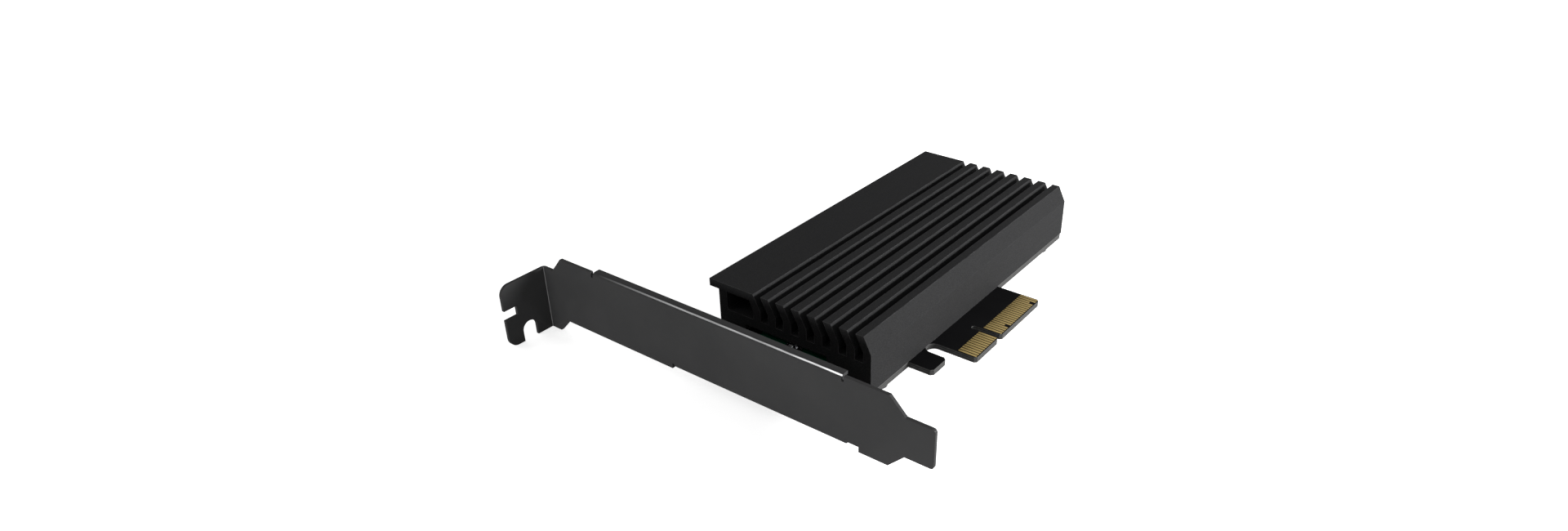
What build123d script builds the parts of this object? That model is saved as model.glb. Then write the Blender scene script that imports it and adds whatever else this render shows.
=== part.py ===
from build123d import *
import os

# Expansion card that carries one M.2 drive under a finned heatsink.
# X runs away from the bracket's outer face, Y towards the bent tab, Z up from the component side.
# Y = 0 is the tip of the gold edge contacts. All lengths are in millimetres.

# Circuit board
BOARD_THICKNESS = 1.6
BOARD_LENGTH = 116.6
BOARD_WIDTH = 47.8
BOARD_GAP = 0.54            # from the bracket's inner face to the board
BOARD_CORNER = 0.6
PLATING = 0.05              # height of gold and copper above the board
CONTACT_REACH = 12.45       # from the contact tips back to the board's long edge
BARE_EDGE = 0.25            # laminate beyond the contact tips

# Edge contacts: a four-lane card edge with its key
FIRST_CONTACT_X = 44.2
CONTACT_PITCH = 1.0
CONTACT_WIDTH = 0.7
CONTACT_LENGTH = 5.1
SHORT_CONTACT_LENGTH = 3.8
NEAR_CONTACTS = 11
FAR_CONTACTS = 21
KEY_STEPS = 2               # contact positions that the key takes
CONTACT_MARGIN = 0.65       # from the middle of an end contact to the edge of its block
KEY_DEPTH = 7.9
CONTACT_CORNER = 0.6
SHORT_TOP = (15, 29)        # presence contacts, counted from the bracket
SHORT_BOTTOM = (0,)

# Hook beside the contacts, and the foot that the bracket is screwed to
HOOK_WIDTH = 6.6
HOOK_REACH = 6.9
HOOK_GAP = 4.35
HOOK_NOTCH_DEPTH = 0.1      # past the board's long edge
HOOK_CORNER = 0.7
FOOT_LENGTH = 12.1
FOOT_REACH = 6.85

# Slotted holes for the heatsink screws
SLOT_NEAR_INSET = 7.4       # from the heatsink's near end
SLOT_FAR_INSET = 9.0        # from the board's far end
SLOT_INSET = 2.4            # from the board's long edge beside the contacts
TAPPED_INSET = 1.55         # on the tab's side, from a tapped hole's axis to the outside of the heatsink's leg
SLOT_LENGTH = 5.0
SLOT_WIDTH = 2.4
RING_MARGIN = 0.65

# Gold cooling strip under the drive
STRIP_WIDTH = 20.9
STRIP_NEAR = 2.4            # before the standoff's axis
STRIP_GAP = 5.5             # between the strip and the socket
STANDOFF_CLEARANCE = 0.7
VIA_DIAMETER = 0.5
VIA_COLUMNS = 12
VIA_ROWS = 4
VIA_PITCH_X = 5.8
VIA_PITCH_Y = 5.0
VIA_FIRST = 6.5             # from the strip's near end

# Sheet-metal bracket
SHEET = 0.86
BRACKET_LENGTH = 120.02
BRACKET_WIDTH = 18.42
TONGUE_DROP = 14.47         # from the contact tips to the tongue's end
EDGE_DROP = 0.26            # plain lower edge below the lower flange
TONGUE_WIDTH = 10.19
TONGUE_LENGTH = 7.2
TONGUE_SET = 4.14           # tongue above the plain lower edge
TONGUE_SLANT = 4.1
TAB_LENGTH = 13.85
TAB_DROP = 4.0              # tab below the plain lower edge
TAB_WIDTH = 18.0
TAB_CORNER = 2.8
NECK_LENGTH = 4.3
NECK_SLANT = 3.7
TAB_SLOT_WIDTH = 4.42
TAB_SLOT_X = 7.0
TAB_SLOT_DEPTH = 5.2
TAB_NOTCH_WIDTH = 2.75
TAB_NOTCH_DEPTH = 3.85
TAB_NOTCH_Z = 8.35
BEND = 1.1                  # outside radius of the bends
UPPER_FLANGE = 2.4
UPPER_FLANGE_START = 9.0
UPPER_FLANGE_GAP = 12.05     # between the upper flange and the neck's slant
RELIEF = 0.6
RELIEF_DEPTH = 1.4
LOWER_FLANGE = 3.5
LOWER_FLANGE_START = 8.1
LOWER_FLANGE_LENGTH = 51.3
LOWER_RELIEF = 3.65
EAR_LENGTH = 12.0
EAR_WIDTH = 6.9

# Bracket screws
BRACKET_SCREW_X = 7.2
BRACKET_SCREW_DIAMETER = 2.9
BRACKET_SCREW_HEAD = 5.5
BRACKET_SCREW_HEAD_HEIGHT = 2.0
BRACKET_SCREW_TIP = 0.95
BRACKET_HOLE_WIDTH = 3.6
BRACKET_SLOT_TRAVEL = 6.4
BRACKET_RING_MARGIN = 1.05
THREAD_GAP = 0.05

# Socket
SOCKET_X = 94.0
SOCKET_LENGTH = 5.2
SOCKET_WIDTH = 21.6
SOCKET_HEIGHT = 3.2
SOCKET_FLOOR = 1.02
SOCKET_MOUTH = 1.6
SOCKET_SIDE = 0.8
SOCKET_CHAMFER = 0.25
PIN_PITCH = 0.5
PIN_WIDTH = 0.26
PIN_THICKNESS = 0.12
PIN_FOOT = 2.8              # end of the foot, ahead of the socket's mouth
PIN_HEEL = 1.9              # where the foot turns up, ahead of the mouth
PIN_BEND = 0.9              # where the pin levels out, ahead of the mouth
PIN_CREST = 1.0             # length that presses on the drive's edge
PIN_TIP = 1.0               # from the crest to the pin's end
PIN_TIP_GAP = 0.1
REAR_FOOT = 1.0             # foot behind the socket
REAR_START = 0.6            # upper pin's end, behind the mouth
REAR_CREST = 0.7
REAR_RISE = 0.5             # slant of the upper pin on each side of its crest
KEY_WIDTH = 1.2
KEY_OFFSET = 6.125
KEY_CLEARANCE = 0.1
HOLD_DOWN_WIDTH = 1.6
HOLD_DOWN_LENGTH = 2.2
HOLD_DOWN_THICKNESS = 0.25

# Drive
DRIVE_LENGTH = 80.0
DRIVE_WIDTH = 22.0
DRIVE_THICKNESS = 0.8
DRIVE_UNDERSIDE = 1.5
DRIVE_INSERTION = 3.9
DRIVE_EDGE_WIDTH = 19.85
DRIVE_EDGE_LENGTH = 4.0
DRIVE_NOTCH_RADIUS = 1.75
DRIVE_CORNER = 0.4
DRIVE_PAD_THICKNESS = 0.04
DRIVE_PAD_LENGTH = 2.1
DRIVE_PAD_WIDTH = 0.35
DRIVE_PAD_INSET = 0.3
DRIVE_RECESS = 0.15
DRIVE_RECESS_LENGTH = 6.9
DRIVE_RECESS_STARTS = (6.3, 31.7)
CHIP_HEIGHT = 1.6
CHIP_EDGE = 0.12
MEMORY_LENGTH = 14.0
MEMORY_WIDTH = 18.3
MEMORY_NEAR = 3.6           # from the drive's near end
MEMORY_FAR = 59.8
MEMORY_OFFSET = 1.0         # across the drive, towards the tab end
CONTROLLER_LENGTH = 14.3
CONTROLLER_START = 42.8
CONTROLLER_OFFSET = 1.75
POWER_CHIP_SIZE = 4.5
POWER_CHIP_HEIGHT = 0.9
POWER_CHIP_START = 22.5
POWER_CHIP_OFFSET = -5.1
LEAD_COUNT = 8
LEAD_PITCH = 0.5
LEAD_WIDTH = 0.22
LEAD_REACH = 0.55
LEAD_HEIGHT = 0.4
SWITCH_LENGTH = 2.9
SWITCH_WIDTH = 2.4
SWITCH_START = 28.3
SWITCH_OFFSET = -8.2
COIL_LENGTH = 2.6
COIL_WIDTH = 2.2
COIL_HEIGHT = 1.1
COIL_START = 32.5
COIL_OFFSET = -5.7
COIL_CAP = 0.5

# Standoff and its screw
STANDOFF_DIAMETER = 5.0
STANDOFF_STEM = 3.2
STEM_CLEARANCE = 0.05
DRIVE_SCREW_DIAMETER = 2.0
DRIVE_SCREW_LENGTH = 3.0
DRIVE_SCREW_HEAD = 4.7
DRIVE_SCREW_HEAD_HEIGHT = 0.8

# Thermal pads
PAD_WIDTH = 18.6
PAD_START = 4.2             # from the drive's near end
PAD_SOCKET_GAP = 0.4
PAD_PIN_GAP = 0.4
PAD_EDGE = 0.2

# Heatsink extrusion
HEATSINK_X = 16.2
HEATSINK_HEIGHT = 14.8
HEATSINK_INSET = 0.1        # its plain side beyond the board's edge
PLATE = 2.05
OVERHANG = 3.0
FLANGE_HEIGHT = 1.15
LIP = 0.8
LIP_DROP = 0.83
LIP_GAP = 0.1
PAD_SIDE_GAP = 2.0          # from the pad to the bay's roof edge beside the contacts
RIGHT_LEDGE = 3.95
BAY_WIDTH = 25.05
LEFT_LEDGE = 3.3
LEDGE_HEIGHT = 3.0
BAY_HEIGHT = 5.3
FIN = 2.2
FIN_GAP = 2.36
FIN_PITCH = 4.67
FIN_COUNT = 7
FIN_FLOOR = 7.7
FIN_KNEE = 10.45
FIN_LEAN = 2.19
CHANNEL_WALL = 2.5
CHANNEL_POCKET_GAP = 0.5    # round the outer row of capacitors

# Heatsink screws
HEATSINK_SCREW_DIAMETER = 2.0
HEATSINK_SCREW_GRIP = 3.4
HEATSINK_SCREW_HEAD = 4.0
HEATSINK_SCREW_HEAD_HEIGHT = 1.2
TAPPED_EXTRA = 0.8

# Capacitors beside the socket
CAPACITOR_LENGTH = 2.0
CAPACITOR_WIDTH = 1.2
CAPACITOR_HEIGHT = 1.1
CAPACITOR_CAP = 0.45
CAPACITOR_CAP_PROUD = 0.06
CAPACITOR_ROUND = 0.22
CAPACITOR_PITCH = 2.4
CAPACITOR_COUNT = 5
INNER_ROW_X = 83.1
INNER_ROW_Y = 12.8          # from the drive's middle line
OUTER_ROW_X = 89.6
OUTER_ROW_Y = 17.8

# Cross recess of every screw
RECESS_WIDTH = 0.16         # as shares of the head's diameter
RECESS_SPAN = 0.58
RECESS_DEPTH = 0.6          # as a share of the head's height

# Places that follow from the sizes above
board_near = SHEET + BOARD_GAP
board_far = board_near + BOARD_LENGTH
board_right = CONTACT_REACH
board_left = board_right + BOARD_WIDTH
board_middle = (board_right + board_left) / 2
board_under = -BOARD_THICKNESS
contacts_near = FIRST_CONTACT_X - CONTACT_MARGIN
contacts_far = FIRST_CONTACT_X + (NEAR_CONTACTS + FAR_CONTACTS - 1 + KEY_STEPS) * CONTACT_PITCH + CONTACT_MARGIN
key_near = FIRST_CONTACT_X + (NEAR_CONTACTS - 1) * CONTACT_PITCH + CONTACT_MARGIN
key_far = FIRST_CONTACT_X + (NEAR_CONTACTS + KEY_STEPS) * CONTACT_PITCH - CONTACT_MARGIN
hook_far = contacts_near - HOOK_GAP
ears_top = board_under - PLATING
flange_under = ears_top - SHEET
plain_edge = flange_under - EDGE_DROP
bracket_top = plain_edge + BRACKET_WIDTH
tongue_end = -TONGUE_DROP
tab_outside = tongue_end + BRACKET_LENGTH
shoulder = tab_outside - NECK_LENGTH - NECK_SLANT
tab_under = plain_edge - TAB_DROP
lower_flange_end = LOWER_FLANGE_START + LOWER_FLANGE_LENGTH
upper_flange_end = shoulder - UPPER_FLANGE_GAP
right_ear = LOWER_FLANGE_START + EAR_WIDTH / 2
left_ear = lower_flange_end - EAR_WIDTH / 2
heatsink_right = board_right - HEATSINK_INSET
heatsink_left = board_left + LIP_GAP + LIP
heatsink_wall = heatsink_left - OVERHANG
roof_right = board_middle - PAD_WIDTH / 2 - PAD_SIDE_GAP
bay_right = roof_right - RIGHT_LEDGE
slot_places = [
    (x, y)
    for x in (HEATSINK_X + SLOT_NEAR_INSET, board_far - SLOT_FAR_INSET)
    for y in (board_right + SLOT_INSET, heatsink_wall - TAPPED_INSET)
]
drive_far = SOCKET_X + DRIVE_INSERTION
drive_near = drive_far - DRIVE_LENGTH
drive_top = DRIVE_UNDERSIDE + DRIVE_THICKNESS
chip_top = drive_top + CHIP_HEIGHT
strip_near = drive_near - STRIP_NEAR
strip_far = SOCKET_X - STRIP_GAP
bay_roof = PLATING + BAY_HEIGHT
outer_row_y = board_middle - OUTER_ROW_Y
inner_row_y = board_middle - INNER_ROW_Y


def block(x0, x1, y0, y1, z0, z1):
    """A box between two corners."""
    return Pos((x0 + x1) / 2, (y0 + y1) / 2, (z0 + z1) / 2) * Box(x1 - x0, y1 - y0, z1 - z0)


def patch(x0, x1, y0, y1):
    """A flat rectangle in plan."""
    return Pos((x0 + x1) / 2, (y0 + y1) / 2) * Rectangle(x1 - x0, y1 - y0)


def rod(x, y, z0, z1, diameter):
    """An upright cylinder."""
    return Pos(x, y, (z0 + z1) / 2) * Cylinder(diameter / 2, z1 - z0)


def slot(x, y, length, width, along_y=False):
    """A flat slot with round ends, by its overall length."""
    turn = 90 if along_y else 0
    return Pos(x, y) * Rot(0, 0, turn) * SlotOverall(length, width)


def slab(face, z0, z1):
    """A plan carried up from z0 to z1."""
    return extrude(Pos(0, 0, z0) * face, amount=z1 - z0)


def section(points, x0, x1):
    """A closed outline in Y and Z carried along X."""
    outline = make_face(Polyline(*points, close=True))
    return extrude(Plane.YZ.offset(x0) * outline, amount=x1 - x0)


def side(points, y0, y1):
    """A closed outline in X and Z carried along Y."""
    outline = make_face(Polyline(*points, close=True))
    return extrude(Plane.XZ.offset(-y1) * outline, amount=y1 - y0)


def join(pieces):
    """Separate solids kept in one node."""
    return Compound(children=[s for piece in pieces for s in piece.solids()])


def corners(face, places, size, cut=fillet):
    """Rounds or chamfers the corners of a plan that lie at the given places."""
    chosen = [v for v in face.vertices() if any(abs(v.X - x) + abs(v.Y - y) < 0.01 for x, y in places)]
    return cut(chosen, size)


def upright(solid, x, y):
    """The vertical edges of a solid that stand at one place in plan."""
    return [e for e in solid.edges().filter_by(Axis.Z) if abs(e.center().X - x) + abs(e.center().Y - y) < 0.01]


def screw(x, y, seat, tip, diameter, head, head_height, upward=True):
    """A screw whose head stands on its seat, with a cross recess."""
    sign = 1 if upward else -1
    top = seat + sign * head_height
    low, high = sorted((seat, top))
    cap = rod(x, y, low, high, head)
    rim = [e for e in cap.edges().filter_by(GeomType.CIRCLE) if abs(e.center().Z - top) < 0.01]
    cap = chamfer(rim, 0.25 * head_height)
    stem = rod(x, y, min(seat, tip), max(seat, tip), diameter)
    depth = sign * RECESS_DEPTH * head_height
    low, high = sorted((top, top - depth))
    span = RECESS_SPAN * head / 2
    half = RECESS_WIDTH * head / 2
    cross = block(x - span, x + span, y - half, y + half, low, high)
    cross += block(x - half, x + half, y - span, y + span, low, high)
    return cap + stem - cross


def contact_places():
    """X of each edge contact, with the key's positions left out."""
    steps = [i if i < NEAR_CONTACTS else i + KEY_STEPS for i in range(NEAR_CONTACTS + FAR_CONTACTS)]
    return [FIRST_CONTACT_X + i * CONTACT_PITCH for i in steps]


def board_plan():
    """The board's outline: contact block, hook, bracket foot and notches."""
    hook_near = hook_far - HOOK_WIDTH
    hook_tip = board_right - HOOK_REACH
    foot_far = board_near + FOOT_LENGTH
    foot_tip = board_right - FOOT_REACH
    plan = patch(board_near, board_far, board_right, board_left)
    plan += patch(hook_near, contacts_far, -BARE_EDGE, board_right)
    plan += patch(board_near, foot_far, foot_tip, board_right)
    plan -= patch(hook_near, hook_far, -BARE_EDGE, hook_tip)
    notch_width = contacts_near - hook_far
    notch_end = board_right + HOOK_NOTCH_DEPTH - notch_width / 2
    plan -= patch(hook_far, contacts_near, -BARE_EDGE, notch_end)
    plan -= Pos((hook_far + contacts_near) / 2, notch_end) * Circle(notch_width / 2)
    key_width = key_far - key_near
    key_end = KEY_DEPTH - key_width / 2
    plan -= patch(key_near, key_far, -BARE_EDGE, key_end)
    plan -= Pos((key_near + key_far) / 2, key_end) * Circle(key_width / 2)
    tips = [(x, -BARE_EDGE) for x in (contacts_near, key_near, key_far, contacts_far)]
    plan = corners(plan, tips, CONTACT_CORNER, chamfer)
    plan = corners(plan, [(hook_near, hook_tip), (hook_far, hook_tip)], HOOK_CORNER, chamfer)
    ends = [(board_far, board_right), (board_far, board_left), (board_near, board_left), (board_near, foot_tip)]
    return corners(plan, ends, BOARD_CORNER)


def circuit_board():
    """The laminate with every hole that passes through it."""
    plan = board_plan()
    for x, y in slot_places:
        plan -= slot(x, y, SLOT_LENGTH, SLOT_WIDTH)
    plan -= bracket_slot(0)
    plan -= Pos(BRACKET_SCREW_X, left_ear) * Circle(BRACKET_HOLE_WIDTH / 2)
    plan -= Pos(drive_near, board_middle) * Circle(STANDOFF_STEM / 2 + STEM_CLEARANCE)
    return slab(plan, board_under, 0)


def bracket_slot(margin):
    """The long hole for the bracket screw by the contacts, grown by a margin."""
    length = BRACKET_HOLE_WIDTH + BRACKET_SLOT_TRAVEL + 2 * margin
    middle = right_ear + BRACKET_SLOT_TRAVEL / 2
    return slot(BRACKET_SCREW_X, middle, length, BRACKET_HOLE_WIDTH + 2 * margin, along_y=True)


def plated(hole, bore, ring):
    """Plating of one hole: a lining with a flat ring on each face of the board."""
    lining = slab(hole - bore, board_under, 0)
    over = slab(ring - bore, 0, PLATING)
    under = slab(ring - bore, ears_top, board_under)
    return lining + over + under


def slot_rings():
    """Gold rings of the four slotted holes."""
    rings = []
    for x, y in slot_places:
        hole = slot(x, y, SLOT_LENGTH, SLOT_WIDTH)
        bore = slot(x, y, SLOT_LENGTH - 2 * PLATING, SLOT_WIDTH - 2 * PLATING)
        ring = slot(x, y, SLOT_LENGTH + 2 * RING_MARGIN, SLOT_WIDTH + 2 * RING_MARGIN)
        rings.append(plated(hole, bore, ring))
    return join(rings)


def bracket_hole_rings():
    """Gold rings of the two holes that the bracket screws pass through."""
    place = Pos(BRACKET_SCREW_X, left_ear)
    radius = BRACKET_HOLE_WIDTH / 2
    long_ring = plated(bracket_slot(0), bracket_slot(-PLATING), bracket_slot(BRACKET_RING_MARGIN))
    bore = place * Circle(radius - PLATING)
    round_ring = plated(place * Circle(radius), bore, place * Circle(radius + BRACKET_RING_MARGIN))
    return join([long_ring, round_ring])


def edge_contacts(short, z0, z1):
    """Gold contacts of one face; the short ones stop before the tip."""
    pads = []
    for i, x in enumerate(contact_places()):
        tip = CONTACT_LENGTH - SHORT_CONTACT_LENGTH if i in short else 0
        pads.append(block(x - CONTACT_WIDTH / 2, x + CONTACT_WIDTH / 2, tip, CONTACT_LENGTH, z0, z1))
    return join(pads)


def cooling_strip():
    """Bare gold strip under the drive, pierced by heat-carrying holes."""
    plan = patch(strip_near, strip_far, board_middle - STRIP_WIDTH / 2, board_middle + STRIP_WIDTH / 2)
    plan -= Pos(drive_near, board_middle) * Circle(STANDOFF_DIAMETER / 2 + STANDOFF_CLEARANCE)
    first_row = board_middle - (VIA_ROWS - 1) * VIA_PITCH_Y / 2
    holes = []
    for column in range(VIA_COLUMNS):
        for row in range(VIA_ROWS):
            x = strip_near + VIA_FIRST + column * VIA_PITCH_X
            holes.append(Pos(x, first_row + row * VIA_PITCH_Y) * Circle(VIA_DIAMETER / 2))
    return slab(plan - holes, 0, PLATING)


def bracket_face_outline():
    """Corner points of the bracket's flat face, from the tongue round to the neck and back."""
    tongue_low = plain_edge + TONGUE_SET
    tongue_high = tongue_low + TONGUE_WIDTH
    tongue_root = tongue_end + TONGUE_LENGTH
    neck_root = tab_outside - NECK_LENGTH
    neck_high = tab_under + TAB_WIDTH
    relief_top = plain_edge + RELIEF_DEPTH
    return [
        (tongue_end, tongue_low),
        (tongue_end, tongue_high),
        (tongue_root, tongue_high),
        (tongue_root + TONGUE_SLANT, bracket_top),
        (shoulder, bracket_top),
        (neck_root, neck_high),
        (tab_outside, neck_high),
        (tab_outside, tab_under),
        (neck_root, tab_under),
        (shoulder, plain_edge),
        (lower_flange_end + RELIEF, plain_edge),
        (lower_flange_end + RELIEF, relief_top),
        (lower_flange_end, relief_top),
        (lower_flange_end, flange_under),
        (LOWER_FLANGE_START, flange_under),
        (LOWER_FLANGE_START, relief_top),
        (LOWER_FLANGE_START - LOWER_RELIEF, relief_top),
        (LOWER_FLANGE_START - LOWER_RELIEF, plain_edge),
        (tongue_root + TONGUE_SLANT, plain_edge),
        (tongue_root, tongue_low),
    ]


def bracket_tab():
    """The tab bent outward at the top, with its screw slot and square notch."""
    tab_top = tab_under + TAB_WIDTH
    plate = block(-TAB_LENGTH, SHEET, tab_outside - SHEET, tab_outside, tab_under, tab_top)
    outer = [e for e in plate.edges().filter_by(Axis.Y) if abs(e.center().X + TAB_LENGTH) < 0.01]
    plate = fillet(outer, TAB_CORNER)
    radius = TAB_SLOT_WIDTH / 2
    arc_z = tab_under + TAB_SLOT_DEPTH - radius
    through = (tab_outside - 2 * SHEET, tab_outside + SHEET)
    plate -= block(-TAB_SLOT_X - radius, -TAB_SLOT_X + radius, *through, tab_under - SHEET, arc_z)
    plate -= Pos(-TAB_SLOT_X, tab_outside, arc_z) * Rot(90, 0, 0) * Cylinder(radius, 4 * SHEET)
    notch_z = tab_under + TAB_NOTCH_Z
    notch_x = -TAB_LENGTH + TAB_NOTCH_DEPTH
    return plate - block(-TAB_LENGTH - SHEET, notch_x, *through, notch_z, notch_z + TAB_NOTCH_WIDTH)


def bracket_flanges():
    """The upper stiffening flange, the lower one and its two ears under the board."""
    flanges = block(0, UPPER_FLANGE, UPPER_FLANGE_START, upper_flange_end, bracket_top - SHEET, bracket_top)
    flanges += block(0, LOWER_FLANGE, LOWER_FLANGE_START, lower_flange_end, flange_under, ears_top)
    for middle in (right_ear, left_ear):
        ear = patch(0, EAR_LENGTH, middle - EAR_WIDTH / 2, middle + EAR_WIDTH / 2)
        ear = corners(ear, [(EAR_LENGTH, middle - EAR_WIDTH / 2), (EAR_LENGTH, middle + EAR_WIDTH / 2)], BEND)
        hole = Pos(BRACKET_SCREW_X, middle) * Circle(BRACKET_SCREW_DIAMETER / 2 + THREAD_GAP)
        flanges += slab(ear - hole, flange_under, ears_top)
    return flanges


def lengthwise(solid, x, z):
    """The edges along Y that lie at one place in X and Z."""
    return [e for e in solid.edges().filter_by(Axis.Y) if abs(e.center().X - x) + abs(e.center().Z - z) < 0.01]


def bracket():
    """One folded sheet: face, tongue, tab and flanges, with rounded bends."""
    sheet = section(bracket_face_outline(), 0, SHEET) + bracket_tab() + bracket_flanges()
    for y in (UPPER_FLANGE_START - RELIEF, upper_flange_end):
        sheet -= block(-SHEET, 2 * SHEET, y, y + RELIEF, bracket_top - RELIEF_DEPTH, bracket_top + SHEET)
    sheet = fillet(upright(sheet, SHEET, tab_outside), BEND)
    sheet = fillet(upright(sheet, 0, tab_outside - SHEET), BEND - SHEET)
    bend = [e for e in lengthwise(sheet, 0, bracket_top) if UPPER_FLANGE_START < e.center().Y < upper_flange_end]
    sheet = fillet(bend, BEND)
    sheet = fillet(lengthwise(sheet, 0, flange_under), BEND)
    sides = [e for e in sheet.edges().filter_by(Axis.X)
             if abs(e.center().Y - tongue_end) < 0.01 and abs(e.length - SHEET) < 0.01]
    return fillet(sides, SHEET)


def bracket_screws():
    """Pan heads on the board, tips through the ears."""
    tip = flange_under - BRACKET_SCREW_TIP
    sizes = (BRACKET_SCREW_DIAMETER, BRACKET_SCREW_HEAD, BRACKET_SCREW_HEAD_HEIGHT)
    return join([screw(BRACKET_SCREW_X, y, PLATING, tip, *sizes) for y in (right_ear, left_ear)])


def key_middle():
    """Y of the drive's key."""
    return board_middle - KEY_OFFSET


def pin_places(first):
    """Y of each pin position of one face of the drive's edge, with the key's left out."""
    count = int(2 * first / PIN_PITCH) + 1
    places = [board_middle + first - i * PIN_PITCH for i in range(count)]
    return [y for y in places if abs(y - key_middle()) > KEY_WIDTH / 2 + PIN_PITCH / 2]


def upper_pins():
    """Pin places of the drive's upper face."""
    return pin_places(18.5 * PIN_PITCH)


def lower_pins():
    """Pin places of the drive's under face, set half a pitch along."""
    return pin_places(18 * PIN_PITCH)


def socket_housing():
    """Black housing with the drive's mouth, its key and the rear slots of the upper pins."""
    half = SOCKET_WIDTH / 2
    back = SOCKET_X + SOCKET_LENGTH
    housing = block(SOCKET_X, back, board_middle - half, board_middle + half, 0, SOCKET_HEIGHT)
    top = housing.edges().group_by(Axis.Z)[-1]
    housing = chamfer(top, SOCKET_CHAMFER)
    mouth_end = drive_far + KEY_CLEARANCE
    roof = SOCKET_FLOOR + SOCKET_MOUTH
    inner = half - SOCKET_SIDE
    housing -= block(SOCKET_X, mouth_end, board_middle - inner, board_middle + inner, SOCKET_FLOOR, roof)
    rib = KEY_WIDTH / 2 - KEY_CLEARANCE
    housing += block(SOCKET_X + 1, mouth_end, key_middle() - rib, key_middle() + rib, SOCKET_FLOOR, roof)
    gap = PIN_WIDTH / 2
    for y in upper_pins():
        housing -= block(mouth_end, back, y - gap, y + gap, roof - PIN_THICKNESS, roof)
    return housing


def socket_front_contacts():
    """Lower spring pins: they lie under the drive's edge and bend down to the board."""
    thick = PIN_THICKNESS
    touch = DRIVE_UNDERSIDE - DRIVE_PAD_THICKNESS
    tip = drive_far - PIN_TIP_GAP
    crest = tip - PIN_TIP
    slope = crest - PIN_CREST
    floor = SOCKET_FLOOR
    outline = [
        (tip, floor + thick),
        (crest, touch),
        (slope, touch),
        (SOCKET_X, floor + thick),
        (SOCKET_X - PIN_BEND, floor + thick),
        (SOCKET_X - PIN_HEEL, thick),
        (SOCKET_X - PIN_FOOT, thick),
        (SOCKET_X - PIN_FOOT, 0),
        (SOCKET_X - PIN_HEEL - thick, 0),
        (SOCKET_X - PIN_BEND - thick / 2, floor),
        (SOCKET_X, floor),
        (slope, touch - thick),
        (crest, touch - thick),
        (tip, floor),
    ]
    pin = PIN_WIDTH / 2
    return join([side(outline, y - pin, y + pin) for y in lower_pins()])


def socket_rear_contacts():
    """Upper spring pins: they press on the drive's upper face and go down behind the housing."""
    thick = PIN_THICKNESS
    back = SOCKET_X + SOCKET_LENGTH
    roof = SOCKET_FLOOR + SOCKET_MOUTH
    touch = drive_top + DRIVE_PAD_THICKNESS
    start = SOCKET_X + REAR_START
    crest = start + REAR_RISE
    rise = crest + REAR_CREST
    outline = [
        (start, roof),
        (back + thick, roof),
        (back + thick, thick),
        (back + REAR_FOOT, thick),
        (back + REAR_FOOT, 0),
        (back, 0),
        (back, roof - thick),
        (rise + REAR_RISE, roof - thick),
        (rise, touch),
        (crest, touch),
        (start, roof - thick),
    ]
    pin = PIN_WIDTH / 2
    return join([side(outline, y - pin, y + pin) for y in upper_pins()])


def socket_hold_downs():
    """Metal tabs that solder the housing's two ends to the board."""
    tabs = []
    x0 = SOCKET_X + (SOCKET_LENGTH - HOLD_DOWN_LENGTH) / 2
    x1 = x0 + HOLD_DOWN_LENGTH
    for sign in (-1, 1):
        wall = board_middle + sign * SOCKET_WIDTH / 2
        post = sorted((wall, wall + sign * HOLD_DOWN_THICKNESS))
        foot = sorted((wall, wall + sign * HOLD_DOWN_WIDTH))
        tab = block(x0, x1, *post, 0, SOCKET_HEIGHT / 2)
        tab += block(x0, x1, *foot, 0, HOLD_DOWN_THICKNESS)
        tabs.append(tab)
    return join(tabs)


def capacitor_rows():
    """Middle of each capacitor beside the socket."""
    rows = ((INNER_ROW_X, inner_row_y), (OUTER_ROW_X, outer_row_y))
    return [(x + i * CAPACITOR_PITCH, y) for x, y in rows for i in range(CAPACITOR_COUNT)]


def capacitor_bodies():
    """Brown ceramic bodies, held between their metal ends."""
    proud = CAPACITOR_CAP_PROUD
    half = CAPACITOR_WIDTH / 2 - proud
    reach = CAPACITOR_LENGTH / 2 - CAPACITOR_CAP
    top = CAPACITOR_HEIGHT - proud
    return join([block(x - half, x + half, y - reach, y + reach, proud, top) for x, y in capacitor_rows()])


def capacitor_ends():
    """Rounded metal ends, soldered to the board."""
    ends = []
    half = CAPACITOR_WIDTH / 2
    for x, y in capacitor_rows():
        for sign in (-1, 1):
            span = sorted((y + sign * (CAPACITOR_LENGTH / 2 - CAPACITOR_CAP), y + sign * CAPACITOR_LENGTH / 2))
            end = block(x - half, x + half, *span, 0, CAPACITOR_HEIGHT)
            outer = [e for e in end.faces().sort_by(Axis.Y)[-1 if sign > 0 else 0].edges()]
            ends.append(fillet(outer, CAPACITOR_ROUND))
    return join(ends)


def drive_standoff():
    """Pressed-in threaded spacer under the drive's notched end."""
    body = rod(drive_near, board_middle, 0, DRIVE_UNDERSIDE, STANDOFF_DIAMETER)
    body += rod(drive_near, board_middle, board_under, 0, STANDOFF_STEM)
    return body - rod(drive_near, board_middle, board_under, DRIVE_UNDERSIDE, DRIVE_SCREW_DIAMETER + 2 * THREAD_GAP)


def drive_screw():
    """Flat-headed screw that clamps the notched end."""
    tip = drive_top - DRIVE_SCREW_LENGTH
    sizes = (DRIVE_SCREW_DIAMETER, DRIVE_SCREW_HEAD, DRIVE_SCREW_HEAD_HEIGHT)
    return screw(drive_near, board_middle, drive_top, tip, *sizes)


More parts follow.
